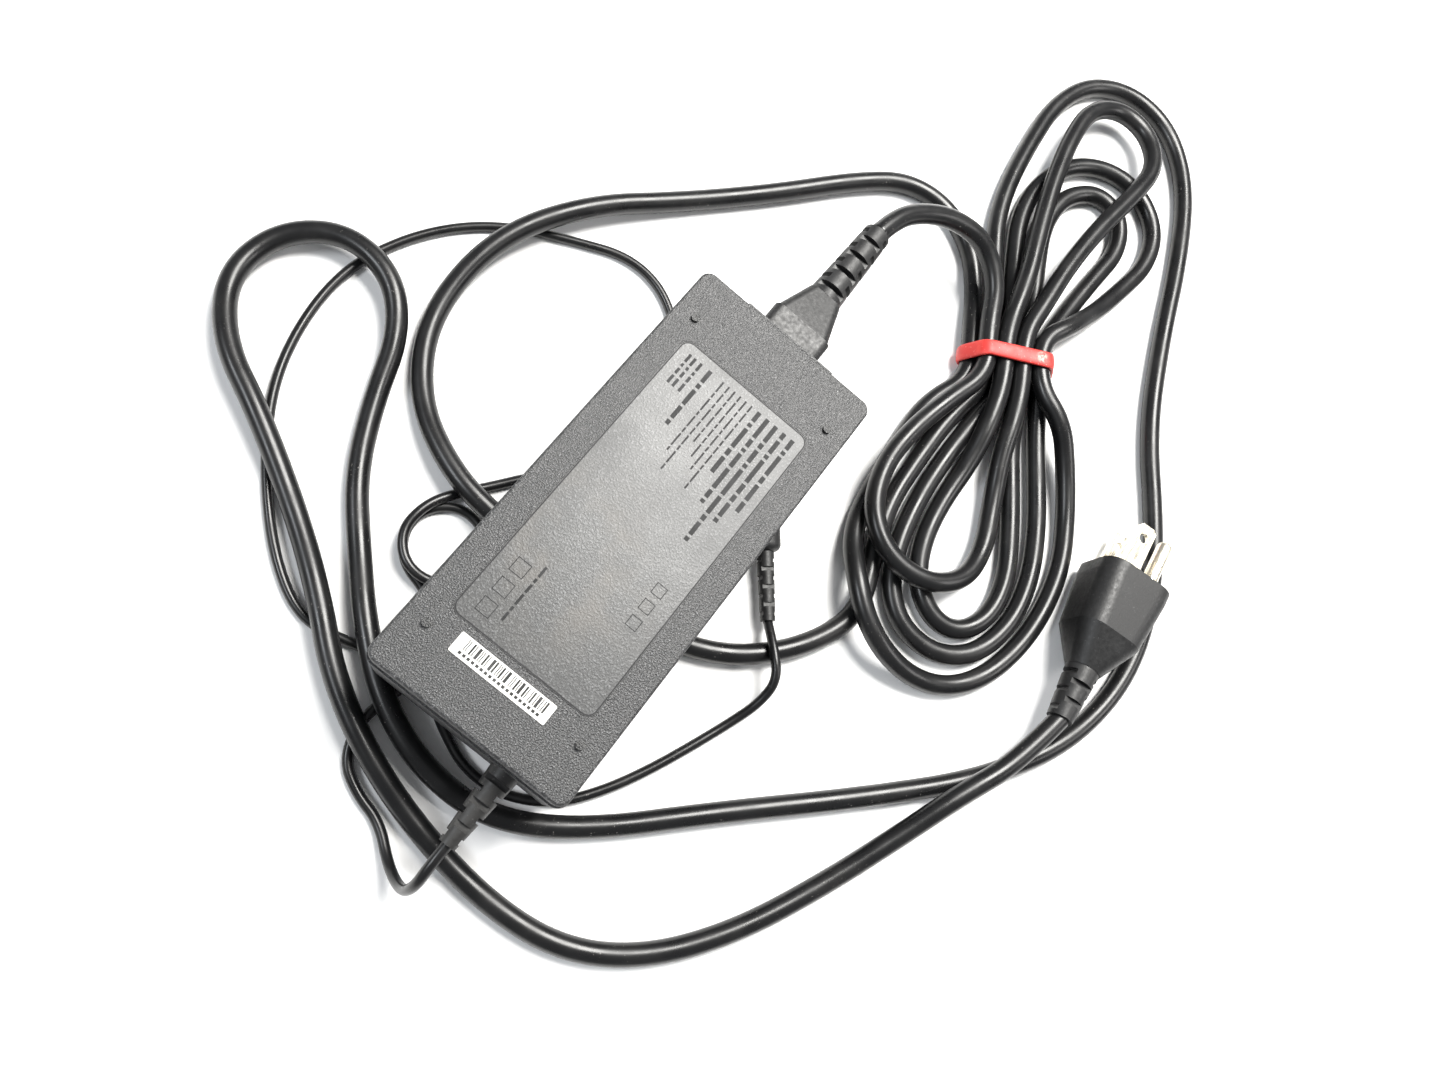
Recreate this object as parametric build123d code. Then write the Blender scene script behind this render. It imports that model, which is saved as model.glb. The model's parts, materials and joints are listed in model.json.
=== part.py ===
from build123d import *
from math import radians, tan
import os

# Desktop power supply for powered networking equipment, with its mains lead and its DC lead.
# Origin: centre of the casing. +X: towards the mains inlet. +Z: up through the label side.

# ---------------------------------------------------------------- driving dimensions (mm)
CASE_L, CASE_W = 131.0, 58.0
COVER_L, COVER_W = 130.0, 57.0
BOTTOM_Z, PARTING_Z, COVER_Z, PIP_Z = -16.0, 10.5, 15.2, 16.0
WALL, COVER_WALL = 2.3, 2.2
PLAN_R, BOTTOM_R, COVER_R = 3.0, 2.0, 0.8
PIP_R, PIP_X, PIP_Y = 1.1, 51.2, 22.3

LABEL_L, LABEL_W, LABEL_T, LABEL_R = 91.0, 41.4, 0.3, 2.8
STICKER_L, STICKER_W, STICKER_T = 5.3, 27.6, 0.15
STICKER_X, STICKER_Y = -50.2, 1.0

INLET_W, INLET_H, INLET_DEPTH = 24.0, 18.0, 22.0
LOBE_R, LOBE_Y, LOBE_LOW, LOBE_HIGH = 4.6, 4.9, -2.2, 3.2
RECESS_DEPTH = 15.0
PIN_R, PIN_LENGTH = 1.2, 11.0
TONGUE_W, TONGUE_H = 28.8, 1.3

CONNECTOR_GAP = 0.5
NOSE_LENGTH, NOSE_CLEARANCE = 13.8, 0.25
BLOCK_W, BLOCK_H, BLOCK_L = 19.0, 15.0, 10.0
NECK_W, NECK_H, TAPER_L = 10.8, 10.2, 13.0
RIB_L, RIB_R, RIB_TIP_R, CORD_SEAT = 29.6, 5.2, 4.2, 0.6
CONTACT_R, CONTACT_WALL, CONTACT_L = 1.35, 0.35, 10.5

DC_EXIT_Y, DC_SLOT_W = -13.5, 6.6
DC_RELIEF_L, DC_RELIEF_W, DC_RELIEF_TIP_W = 20.5, 8.0, 4.6

FLOOR_Z = -26.0
MAINS_D, DC_D = 6.2, 2.8

PLUG_START, PLUG_ANGLE = (44.0, -132.0), 5.7
PLUG_W, PLUG_H, PLUG_BODY_L, PLUG_RELIEF_L = 24.0, 22.0, 33.0, 17.0
BLADE_L, BLADE_W, BLADE_T, BLADE_GAP = 16.5, 6.3, 1.5, 12.7
EARTH_R, EARTH_L, EARTH_OFFSET = 2.4, 19.5, 7.6

DC_PLUG_START, DC_PLUG_ANGLE = (12.0, -46.0), 38.9
DC_RIB_L, DC_RIB_R = 20.0, 2.6
DC_HANDLE_L, DC_HANDLE_R = 22.0, 4.6
BARREL_L, BARREL_R, BARREL_BORE_R, CONTACT_BORE_R = 9.5, 2.75, 2.35, 1.05

BOARD_L, BOARD_W, BOARD_T, BOARD_Z, BOARD_X = 96.0, 50.0, 1.6, 7.4, -10.0
TRANSISTOR_X, RECTIFIER_X = -4.2, -42.0
CHOKE_X, CHOKE_Y = 26.2, 12.0

# ---------------------------------------------------------------- the tied hank
TIE_X, TIE_Y, TIE_ANGLE = 130.0, -58.0, 30.7
TIE_LENGTH, TIE_WALL = 5.0, 1.4
BUNDLE_W, BUNDLE_H = 31.4, 12.2
LAYER_LOW, LAYER_HIGH = 1.6, 7.1
HANK_LAYER = 6.4

# ---------------------------------------------------------------- cord routes
# Each point is x, y and the lift of the cord's centre above where it would lie on the floor.
LEAD_ROUTE = [
    (118.6, 0, 22.9), (128, -1, 22.4), (138, -6, 20), (147, -15, 17), (151, -27, 13.5), (145, -39, 10),
    (137, -45, 8),
]
BACK_ROUTE = [
    (163, -8, 0), (160, 4, 0), (146, 17, 0), (123, 33, 0), (99, 52, 0), (75, 71, 3.6),
    (48, 83, 3.6), (19, 82, 0), (-2, 68, 0), (-13, 47, 3.6), (-15, 28, 3.6), (-14, 6, 0),
    (-12, -16, 0), (-8, -34, 0), (2, -49.5, 0), (17.5, -61.5, 0), (33, -66.5, 0),
]
OUTER_ROUTE = [
    (184, -24.5, 0), (204, -20.5, 0), (226, -18.5, 0), (244.5, -24, 0), (255, -39, 0), (253.5, -57.5, 0),
    (239, -74, 0), (212, -87, 0), (179, -98, 0), (148, -111, 0), (123, -129, 0), (100, -142, 0),
    (72, -148, 0), (43, -142, 0), (17, -125, 0), (-9, -99, 0), (-38, -67, 0), (-64, -40, 0),
    (-76, -19, 0), (-76.5, 2, 3.6), (-69.5, 21, 3.6), (-57.5, 37, 3.6), (-44, 51, 0), (-29, 65.5, 0),
    (-10, 76, 0), (8, 83, 2), (19.5, 95, 3.6), (20.5, 112, 3.6), (9, 125, 1.5), (-9, 126, 1.5),
    (-24, 113, 3.6), (-33, 93, 3.6), (-46, 70, 1), (-58.5, 51, 3.6), (-72, 34.5, 3.6), (-82, 14.5, 3.6),
    (-88.5, -7, 0), (-92, -31, 0), (-90, -54, 0), (-79, -73, 0), (-60, -89, 0), (-36, -102, 0),
    (-12, -112, 3), (7, -119, 6.8), (25, -128, 7.5), (44, -132, 7.9),
]
DC_ROUTE = [
    (-86, -13.5, 24.6), (-92, -13.5, 24.4), (-98, -14, 20.5), (-101, -12.5, 11), (-99, -6.5, 2.5),
    (-92.5, 2, 0), (-90.5, 11, 0), (-86, 19, 0), (-76, 22.5, 0), (-66, 20, 0), (-56, 19, 0),
    (-48, 23.5, 0), (-41, 31, 0), (-39.2, 40.4, 0), (-32.9, 46.7, 0), (-24.1, 46.7, 0),
    (-17.8, 40.4, 0), (-17.8, 31.6, 0), (-24.1, 25.3, 0), (-32.9, 25.3, 0.8), (-39.2, 31.6, 3.3),
    (-39.2, 40.4, 3.3), (-32.9, 46.7, 3.3), (-24.1, 46.7, 3.3), (-16.5, 43.5, 1.2), (-8, 37.5, 0),
    (3, 30, 0), (12, 19, 0), (25, 12, 0), (40, 12, 0), (54, 19, 0), (66, 29, 0), (73, 41, 0),
    (73, 54, 0), (66, 67, 0), (58, 81, 0), (47, 93, 0), (32, 102, 0), (14, 107, 0), (-5, 105, 0),
    (-24, 98, 0), (-41, 85, 0), (-57, 68, 0), (-66, 52, 0), (-64, 40, 0), (-61, 30.5, 0.4),
    (-59.5, 23, 3.2), (-61, 13, 3.2), (-66, 4, 0), (-70, -6, 0), (-69.5, -18, 0), (-63, -30, 0),
    (-53, -38, 0), (-41, -44.7, 0), (-28, -50.5, 0), (-17, -55, 0), (-8, -58, 2.6),
    (-0.5, -57.5, 7), (6, -51.2, 7), (12, -46, 3.2),
]


# ---------------------------------------------------------------- helpers
def rounded_slab(length, width, low, high, corner):
    """A flat block with rounded corners in plan, from height low to height high."""
    return Pos(0, 0, low) * extrude(RectangleRounded(length, width, corner), high - low)


def block(x0, x1, y0, y1, z0, z1):
    """A plain block between two corners."""
    return Pos((x0 + x1) / 2, (y0 + y1) / 2, (z0 + z1) / 2) * Box(x1 - x0, y1 - y0, z1 - z0)


def soft_block(x0, x1, y0, y1, z0, z1, radius):
    """A block with every edge rounded."""
    body = block(x0, x1, y0, y1, z0, z1)
    return fillet(body.edges(), radius)


def rod_x(x0, x1, y, z, radius):
    """A round rod along X."""
    return Pos((x0 + x1) / 2, y, z) * Rot(0, 90, 0) * Cylinder(radius, x1 - x0)


def rod_z(x, y, z0, z1, radius):
    """A round rod along Z."""
    return Pos(x, y, (z0 + z1) / 2) * Cylinder(radius, z1 - z0)


def placed(shape, start, angle, axis_z):
    """Moves a shape made along +X from the origin to a plug's place on the floor."""
    return Pos(start[0], start[1], axis_z) * Rot(0, 0, angle) * shape


def cord_points(route, diameter):
    return [Vector(x, y, FLOOR_Z + diameter / 2 + lift) for x, y, lift in route]


def cord_tube(name, route, diameter):
    """A round cord of straight runs joined by tangent arcs, each as large as its runs allow."""
    points = cord_points(route, diameter)
    runs = [b - a for a, b in zip(points, points[1:])]
    radii = []
    for before, after in zip(runs, runs[1:]):
        turn = radians(before.get_angle(after))
        radii.append(0.45 * min(before.length, after.length) / tan(turn / 2))
    path = FilletPolyline(*points, radius=radii)
    start = Plane(origin=path @ 0, z_dir=path % 0)
    tube = sweep(start * Circle(diameter / 2), path=path.wire())
    section = 3.14159 * diameter**2 / 4
    print(f"{name}: {path.length:.0f} mm, volume / (section x length) {tube.volume / section / path.length:.4f}")
    print("  radii in diameters:", " ".join(f"{r / diameter:.1f}" for r in radii))
    return tube


def save(shape, name):
    shape.label = name
    export_step(shape, f"parts/{name}.step")


# ---------------------------------------------------------------- casing
def cover_tabs(low, length):
    """The two tabs of the cover that close the wall openings over the inlet and the DC exit."""
    inlet = block(CASE_L / 2 - WALL, length / 2, -TONGUE_W / 2, TONGUE_W / 2, low, PARTING_Z)
    exit_y0, exit_y1 = DC_EXIT_Y - DC_SLOT_W / 2, DC_EXIT_Y + DC_SLOT_W / 2
    outlet = block(-length / 2, -CASE_L / 2 + WALL, exit_y0, exit_y1, DC_RELIEF_W / 2 - 0.4, PARTING_Z)
    return inlet, outlet


def label_cover():
    cover = rounded_slab(COVER_L, COVER_W, PARTING_Z, COVER_Z, PLAN_R)
    cover = fillet(cover.faces().sort_by(Axis.Z)[-1].edges(), COVER_R)
    inner_l, inner_w = CASE_L - 2 * WALL, CASE_W - 2 * WALL
    cover -= rounded_slab(inner_l - 2.4, inner_w - 2.4, PARTING_Z, COVER_Z - COVER_WALL, 1.5)
    lip = rounded_slab(inner_l - 0.4, inner_w - 0.4, PARTING_Z - 2.0, PARTING_Z, 1.5)
    lip -= rounded_slab(inner_l - 2.4, inner_w - 2.4, PARTING_Z - 2.0, PARTING_Z, 1.5)
    lip -= block(40, 70, -15, 15, PARTING_Z - 2.0, PARTING_Z)
    lip -= block(-70, -55, DC_EXIT_Y - 5, DC_EXIT_Y + 5, PARTING_Z - 2.0, PARTING_Z)
    cover += lip
    for tab in cover_tabs(PARTING_Z - TONGUE_H, CASE_L):
        cover += tab
    cover += block(CASE_L / 2 - WALL, CASE_L / 2, -TONGUE_W / 2, TONGUE_W / 2, PARTING_Z, COVER_Z - 0.6)
    cover -= rounded_slab(LABEL_L + 0.2, LABEL_W + 0.2, COVER_Z - LABEL_T - 0.05, COVER_Z, LABEL_R)
    for x in (-PIP_X, PIP_X):
        for y in (-PIP_Y, PIP_Y):
            cover += rod_z(x, y, COVER_Z - 0.5, PIP_Z, PIP_R)
    return cover


def base_shell():
    base = rounded_slab(CASE_L, CASE_W, BOTTOM_Z, PARTING_Z, PLAN_R + 0.3)
    base = fillet(base.faces().sort_by(Axis.Z)[0].edges(), BOTTOM_R)
    base -= rounded_slab(CASE_L - 2 * WALL, CASE_W - 2 * WALL, BOTTOM_Z + WALL, PARTING_Z, 1.5)
    rim = rounded_slab(CASE_L, CASE_W, PARTING_Z - 0.5, PARTING_Z, PLAN_R + 0.3)
    rim -= rounded_slab(CASE_L - 0.8, CASE_W - 0.8, PARTING_Z - 0.5, PARTING_Z, PLAN_R)
    base -= rim
    base -= block(60, 70, -INLET_W / 2 - 0.1, INLET_W / 2 + 0.1, -INLET_H / 2 - 0.1, PARTING_Z)
    base -= block(60, 70, -TONGUE_W / 2 - 0.1, TONGUE_W / 2 + 0.1, PARTING_Z - TONGUE_H - 0.1, PARTING_Z)
    half = DC_SLOT_W / 2 + 0.1
    base -= block(-70, -60, DC_EXIT_Y - half, DC_EXIT_Y + half, -DC_SLOT_W / 2 - 0.1, PARTING_Z)
    for x in (36.5, -56.0):
        for y in (-23.5, 23.5):
            base += block(x - 1.5, x + 1.5, y - 1.5, y + 1.5, BOTTOM_Z + WALL - 0.5, BOARD_Z - 0.1)
    return base


def rating_label():
    return rounded_slab(LABEL_L, LABEL_W, COVER_Z - LABEL_T, COVER_Z, LABEL_R)


def barcode_label():
    slab = rounded_slab(STICKER_L, STICKER_W, COVER_Z, COVER_Z + STICKER_T, 0.4)
    return Pos(STICKER_X, STICKER_Y, 0) * slab


# ---------------------------------------------------------------- mains inlet and connector
def cloverleaf(x0, x1, shrink):
    """The three-lobed outline of a cloverleaf appliance coupler, along X."""
    lobes = [(-LOBE_Y, LOBE_LOW), (LOBE_Y, LOBE_LOW), (0.0, LOBE_HIGH)]
    core = block(x0, x1, -LOBE_Y, LOBE_Y, LOBE_LOW - LOBE_R + shrink, LOBE_HIGH)
    for y, z in lobes:
        core += rod_x(x0, x1, y, z, LOBE_R - shrink)
    return core


def inlet_housing():
    front, back = CASE_L / 2, CASE_L / 2 - INLET_DEPTH
    half_w, half_h = INLET_W / 2, INLET_H / 2
    housing = block(back, front, -half_w, half_w, -half_h, half_h)
    housing += block(front - WALL - 2.0, front - WALL - 0.2, -half_w - 1.8, half_w + 1.8, -half_h, half_h)
    housing -= cloverleaf(front - RECESS_DEPTH, front + 1, 0)
    for y, z in pin_places():
        housing -= rod_x(back - 1, front - RECESS_DEPTH + 1, y, z, PIN_R)
    return housing


def pin_places():
    return [(-LOBE_Y, LOBE_LOW), (LOBE_Y, LOBE_LOW), (0.0, LOBE_HIGH)]


def inlet_pins():
    root = CASE_L / 2 - RECESS_DEPTH
    back = CASE_L / 2 - INLET_DEPTH
    pins = []
    for y, z in pin_places():
        pin = rod_x(back - 3.0, root + PIN_LENGTH, y, z, PIN_R)
        pins.append(fillet(pin.edges().sort_by(Axis.X)[-1:], 0.6))
    return Compound(children=pins)


def connector_section(x, width, height, bevel):
    sketch = RectangleRounded(width, height, bevel)
    return Plane(origin=(x, 0, 0), x_dir=(0, 1, 0), z_dir=(1, 0, 0)) * sketch


def mains_connector_body():
    front = CASE_L / 2 + CONNECTOR_GAP
    nose_tip = front - NOSE_LENGTH
    step = front + BLOCK_L
    neck = step + TAPER_L
    body = loft([connector_section(x, BLOCK_W, BLOCK_H, 2.4) for x in (front, step)])
    shoulder = connector_section(step, BLOCK_W - 0.8, BLOCK_H - 0.8, 2.4)
    body += loft([shoulder, connector_section(neck, NECK_W, NECK_H, 2.4)])
    body += cloverleaf(nose_tip, front, NOSE_CLEARANCE)
    for y, z in pin_places():
        body -= rod_x(nose_tip - 1, nose_tip + CONTACT_L + 0.5, y, z, CONTACT_R + CONTACT_WALL)
    return body


def connector_contacts():
    nose_tip = CASE_L / 2 + CONNECTOR_GAP - NOSE_LENGTH
    contacts = []
    for y, z in pin_places():
        sleeve = rod_x(nose_tip + 0.3, nose_tip + CONTACT_L, y, z, CONTACT_R + CONTACT_WALL)
        sleeve -= rod_x(nose_tip - 1, nose_tip + CONTACT_L + 1, y, z, CONTACT_R)
        contacts.append(sleeve)
    return Compound(children=contacts)


def ribbed_relief(length, radius, tip_radius, core, rows, slot):
    """A tapered round strain relief along X from the origin, tip first, with staggered slots."""
    body = Pos(length / 2, 0, 0) * Rot(0, 90, 0) * Cone(tip_radius, radius, length)
    pitch = (length - 2.0) / rows
    reach = radius + 1
    for i in range(rows):
        x = 1.4 + pitch * i
        for low, high in ((core, reach), (-reach, -core)):
            if i % 2:
                body -= block(x, x + slot, -radius, radius, low, high)
            else:
                body -= block(x, x + slot, low, high, -radius, radius)
    return body


def connector_strain_relief():
    tip = CASE_L / 2 + CONNECTOR_GAP + BLOCK_L + TAPER_L + RIB_L
    relief = ribbed_relief(RIB_L, RIB_R, RIB_TIP_R, 2.9, 8, 1.8)
    return Pos(tip, 0, 0) * Rot(0, 0, 180) * relief - rod_x(tip - CORD_SEAT, tip + 1, 0, 0, MAINS_D / 2 + 0.1)


# ---------------------------------------------------------------- DC lead
def dc_strain_relief():
    wall_in, wall_out = -CASE_L / 2 + WALL, -CASE_L / 2
    half, slot = DC_RELIEF_W / 2, DC_SLOT_W / 2
    relief = block(wall_in + 0.1, wall_in + 2.4, -half - 0.6, half + 0.6, -half, half - 0.6)
    relief += block(wall_out, wall_in + 0.1, -slot, slot, -slot, slot)
    body = ribbed_relief(DC_RELIEF_L, half, DC_RELIEF_TIP_W / 2, 1.9, 6, 1.5)
    relief += Pos(wall_out - DC_RELIEF_L, 0, 0) * body
    return Pos(0, DC_EXIT_Y, 0) * relief


def dc_plug_strain_relief():
    relief = ribbed_relief(DC_RIB_L, DC_RIB_R, DC_RIB_R - 0.4, 1.7, 7, 1.2)
    return placed(relief, DC_PLUG_START, DC_PLUG_ANGLE, FLOOR_Z + DC_HANDLE_R)


def dc_plug_handle():
    handle = Pos(DC_RIB_L + DC_HANDLE_L / 2, 0, 0) * Rot(0, 90, 0) * Cylinder(DC_HANDLE_R, DC_HANDLE_L)
    handle = fillet(handle.edges().sort_by(Axis.X)[:1], 2.2)
    handle = fillet(handle.edges().sort_by(Axis.X)[-1:], 0.5)
    handle -= rod_x(DC_RIB_L + DC_HANDLE_L - 3, DC_RIB_L + DC_HANDLE_L + 1, 0, 0, BARREL_R)
    return placed(handle, DC_PLUG_START, DC_PLUG_ANGLE, FLOOR_Z + DC_HANDLE_R)


def dc_tube(x0, x1, outer, inner):
    tube = rod_x(x0, x1, 0, 0, outer) - rod_x(x0 - 1, x1 + 1, 0, 0, inner)
    return placed(tube, DC_PLUG_START, DC_PLUG_ANGLE, FLOOR_Z + DC_HANDLE_R)


def dc_plug_barrel():
    root = DC_RIB_L + DC_HANDLE_L
    return dc_tube(root - 3, root + BARREL_L, BARREL_R, BARREL_BORE_R)


def dc_plug_insulator():
    root = DC_RIB_L + DC_HANDLE_L
    return dc_tube(root - 3, root + BARREL_L - 0.2, BARREL_BORE_R, CONTACT_BORE_R + 0.3)


def dc_plug_contact():
    root = DC_RIB_L + DC_HANDLE_L
    return dc_tube(root - 3, root + BARREL_L - 0.6, CONTACT_BORE_R + 0.3, CONTACT_BORE_R)


# ---------------------------------------------------------------- hank and its tie
LOBE_OUTLINE = [
    (23, -60), (20, -78), (22, -96), (33, -108), (52, -116.5), (74, -116.5), (95, -112), (112, -102),
    (124, -88), (137.5, -72), (150, -72), (166, -76), (184, -81), (205, -84), (221, -76), (228, -62),
    (227, -44), (216, -32), (206, -26), (208, -17.5), (190, -18.5), (174, -21), (170, -11),
    (158, -6), (151, -26), (137, -36), (122.5, -44.5), (104, -43), (84, -42), (62, -42),
    (42, -48), (30, -53),
]
UPPER_LAYER_OUTLINE = [
    (43, -62), (45, -80), (56, -91), (76, -93), (96, -86), (112, -94), (124, -86), (137.5, -72),
    (160, -72), (190, -62), (212, -64), (236, -64), (246, -52), (245, -36), (234, -24),
    (212, -25), (190, -29), (170, -36), (150, -40), (122.5, -44.5), (104, -44), (84, -41), (62, -41),
    (50, -48),
]


def outline_slab(points, low, high):
    line = Polyline(*points, close=True)
    face = make_face(line)
    face = fillet(face.vertices(), 2.5)
    return Pos(0, 0, low) * extrude(face, high - low)


def tie_frame():
    return Pos(TIE_X, TIE_Y, 0) * Rot(0, 0, TIE_ANGLE)


def mains_hank():
    hank = outline_slab(LOBE_OUTLINE, FLOOR_Z, FLOOR_Z + HANK_LAYER)
    hank += outline_slab(UPPER_LAYER_OUTLINE, FLOOR_Z + HANK_LAYER, FLOOR_Z + 2 * HANK_LAYER)
    side = 20.0
    low, high = FLOOR_Z + LAYER_LOW, FLOOR_Z + LAYER_LOW + BUNDLE_H
    reach = TIE_LENGTH / 2 + 3.0
    gap = block(-reach, reach, -side, side, FLOOR_Z - 1, high + 5)
    gap -= block(-reach, reach, -BUNDLE_W / 2, BUNDLE_W / 2, low, high)
    hank -= tie_frame() * gap
    hank += tie_frame() * block(-reach, reach, -BUNDLE_W / 2, BUNDLE_W / 2, low, high - 0.1)
    return hank


def cord_tie():
    inner_w, inner_h = BUNDLE_W + 0.4, BUNDLE_H + 0.3
    low = FLOOR_Z
    outer_h = inner_h + 2 * TIE_WALL
    band = RectangleRounded(inner_w + 2 * TIE_WALL, outer_h, 3.0)
    hole = Rectangle(inner_w, inner_h)
    plane = Plane(origin=(-TIE_LENGTH / 2, 0, low + outer_h / 2), x_dir=(0, 1, 0), z_dir=(1, 0, 0))
    ring = extrude(plane * (band - hole), TIE_LENGTH)
    return tie_frame() * ring


# ---------------------------------------------------------------- mains plug
PLUG_AXIS_Z = FLOOR_Z + PLUG_H / 2


def plug_strain_relief():
    relief = ribbed_relief(PLUG_RELIEF_L, 5.2, 3.9, 3.2, 5, 1.7)
    return placed(relief, PLUG_START, PLUG_ANGLE, PLUG_AXIS_Z)


def plug_section(x, width, height, corner):
    return Plane(origin=(x, 0, 0), x_dir=(0, 1, 0), z_dir=(1, 0, 0)) * RectangleRounded(width, height, corner)


def mains_plug_body():
    start = PLUG_RELIEF_L
    grip = start + 12.0
    face = start + PLUG_BODY_L
    body = loft([plug_section(start, 10.6, 10.6, 5.0), plug_section(grip, PLUG_W - 3, PLUG_H - 1.5, 6.0)])
    body += loft([plug_section(grip, PLUG_W - 3, PLUG_H - 1.5, 6.0), plug_section(face - 4, PLUG_W, PLUG_H, 6.0)])
    body += loft([plug_section(face - 4, PLUG_W, PLUG_H, 6.0), plug_section(face, PLUG_W, PLUG_H, 6.0)])
    for y0, y1, z0, z1 in blade_sections():
        body -= block(face - 6, face + 1, y0, y1, z0, z1)
    body -= rod_x(face - 6, face + 1, -EARTH_OFFSET, 0, EARTH_R)
    return placed(body, PLUG_START, PLUG_ANGLE, PLUG_AXIS_Z)


def blade_sections():
    """The two flat blades stand one above the other, because the plug lies on its side."""
    y = 3.6
    return [
        (y - BLADE_W / 2, y + BLADE_W / 2, z - BLADE_T / 2, z + BLADE_T / 2)
        for z in (-BLADE_GAP / 2, BLADE_GAP / 2)
    ]


def plug_blades():
    face = PLUG_RELIEF_L + PLUG_BODY_L
    blades = []
    for y0, y1, z0, z1 in blade_sections():
        blade = block(face - 6, face + BLADE_L, y0, y1, z0, z1)
        middle = (y0 + y1) / 2
        blade -= rod_z(face + BLADE_L - 4.5, middle, z0 - 1, z1 + 1, 1.6)
        blade = chamfer(blade.edges().filter_by(Axis.Z).sort_by(Axis.X)[-2:], 1.2)
        blades.append(placed(blade, PLUG_START, PLUG_ANGLE, PLUG_AXIS_Z))
    return Compound(children=blades)


def plug_earth_pin():
    face = PLUG_RELIEF_L + PLUG_BODY_L
    pin = rod_x(face - 6, face + EARTH_L, -EARTH_OFFSET, 0, EARTH_R)
    pin = fillet(pin.edges().sort_by(Axis.X)[-1:], 1.8)
    return placed(pin, PLUG_START, PLUG_ANGLE, PLUG_AXIS_Z)


# ---------------------------------------------------------------- circuit board and its parts
BOARD_TOP = BOARD_Z + BOARD_T


def circuit_board():
    board = block(BOARD_X - BOARD_L / 2, BOARD_X + BOARD_L / 2, -BOARD_W / 2, BOARD_W / 2, BOARD_Z, BOARD_TOP)
    return board


def choke_ring(low, high, outer, inner):
    return rod_z(CHOKE_X, CHOKE_Y, low, high, outer) - rod_z(CHOKE_X, CHOKE_Y, low - 1, high + 1, inner)


def choke_core():
    return choke_ring(-3.6, 5.4, 8.5, 4.5)


def choke_windings():
    """Two coils, each on its own side of the ring."""
    halves = []
    for side in (-1, 1):
        coil = choke_ring(-4.8, 6.6, 9.7, 3.3) - choke_ring(-3.6, 5.4, 8.5, 4.5)
        middle = CHOKE_X + side * (1.5 + 10)
        coil = coil & Pos(middle, CHOKE_Y, 1) * Box(20, 24, 14)
        halves.append(coil)
    return Compound(children=halves)


def x_capacitor():
    return soft_block(18.5, 35.5, -12, -4, BOARD_Z - 14, BOARD_Z, 0.6)


def y_capacitors():
    discs = [rod_x(13, 16, y, 2.6, 4.0) for y in (-6.0, -19.0)]
    return Compound(children=[fillet(d.edges(), 0.9) for d in discs])


def fuse():
    body = rod_x(22, 35, -17.4, 3.6, 2.5)
    return fillet(body.edges(), 0.5)


def bridge_rectifier():
    body = block(2.5, 18.5, 18, 22, BOARD_Z - 15, BOARD_Z - 2)
    body = chamfer(body.edges().filter_by(Axis.Y).sort_by(Axis.X)[-2:], 1.5)
    for x in (4.5, 8.5, 12.5, 16.5):
        body += rod_z(x, 20, BOARD_Z - 2.5, BOARD_Z, 0.5)
    return body


def bulk_capacitor():
    body = rod_x(-21, 9, -15, -2, 9)
    body = fillet(body.edges(), 0.8)
    groove = rod_x(6.2, 7.4, -15, -2, 10) - rod_x(6, 8, -15, -2, 8.5)
    return body - groove


def heatsink(x0, x1, hole_x):
    plate = block(x0, x1, 22.2, 24.4, BOARD_Z - 19.4, BOARD_Z)
    plate -= Pos(hole_x, 23, BOARD_Z - 12) * Rot(90, 0, 0) * Cylinder(1.5, 8)
    return plate


def power_package(x):
    """A three-legged power package, bolted to its heatsink."""
    body = block(x - 5, x + 5, 17.7, 22.1, BOARD_Z - 16, BOARD_Z - 4)
    body = chamfer(body.edges().filter_by(Axis.Z).sort_by(Axis.Y)[:2], 0.6)
    body -= Pos(x, 20, BOARD_Z - 12) * Rot(90, 0, 0) * Cylinder(1.5, 8)
    for offset in (-2.5, 0, 2.5):
        body += block(x + offset - 0.4, x + offset + 0.4, 19.4, 20.0, BOARD_Z - 4.5, BOARD_Z)
    return body


def heatsink_screws():
    screws = []
    for x in (TRANSISTOR_X, RECTIFIER_X):
        shank = Pos(x, 20.9, BOARD_Z - 12) * Rot(90, 0, 0) * Cylinder(1.45, 6.8)
        head = Pos(x, 16.6, BOARD_Z - 12) * Rot(90, 0, 0) * Cylinder(2.7, 1.9)
        head -= Pos(x, 15.9, BOARD_Z - 12) * Box(3.6, 1.0, 0.7)
        screws.append(shank + head)
    return Compound(children=screws)


def transformer_core():
    core = block(-29, -5, -4.5, 15.5, -9.6, 3.6)
    window = block(-25, -9, -5, 16, -9.6 + 3.2, 3.6 - 3.2) - block(-20.5, -13.5, -5, 16, -7, 1)
    return core - window


def transformer_bobbin():
    bobbin = block(-24.8, -9.2, -4.9, -3.3, -6.2, 0.2) + block(-24.8, -9.2, 14.3, 15.9, -6.2, 0.2)
    bobbin -= block(-20.6, -13.4, -6, 17, -7, 1)
    rail = block(-24.8, -9.2, -5.9, -4.9, -6.2, BOARD_Z) + block(-24.8, -9.2, 15.9, 17.0, -6.2, BOARD_Z)
    return bobbin + rail


def transformer_winding():
    coils = block(-24.6, -20.7, -3.2, 14.2, -6.1, 0.1)
    other = block(-13.3, -9.4, -3.2, 14.2, -6.1, 0.1)
    return Compound(children=[coils, other])


def output_capacitors():
    cans = []
    for x in (-28.0, -39.0, -50.0):
        can = rod_z(x, -17, BOARD_Z - 17.5, BOARD_Z, 5)
        can = fillet(can.edges(), 0.5)
        cans.append(can - (rod_z(x, -17, BOARD_Z - 2.6, BOARD_Z - 1.6, 6) - rod_z(x, -17, 0, 8, 4.6)))
    return Compound(children=cans)


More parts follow.
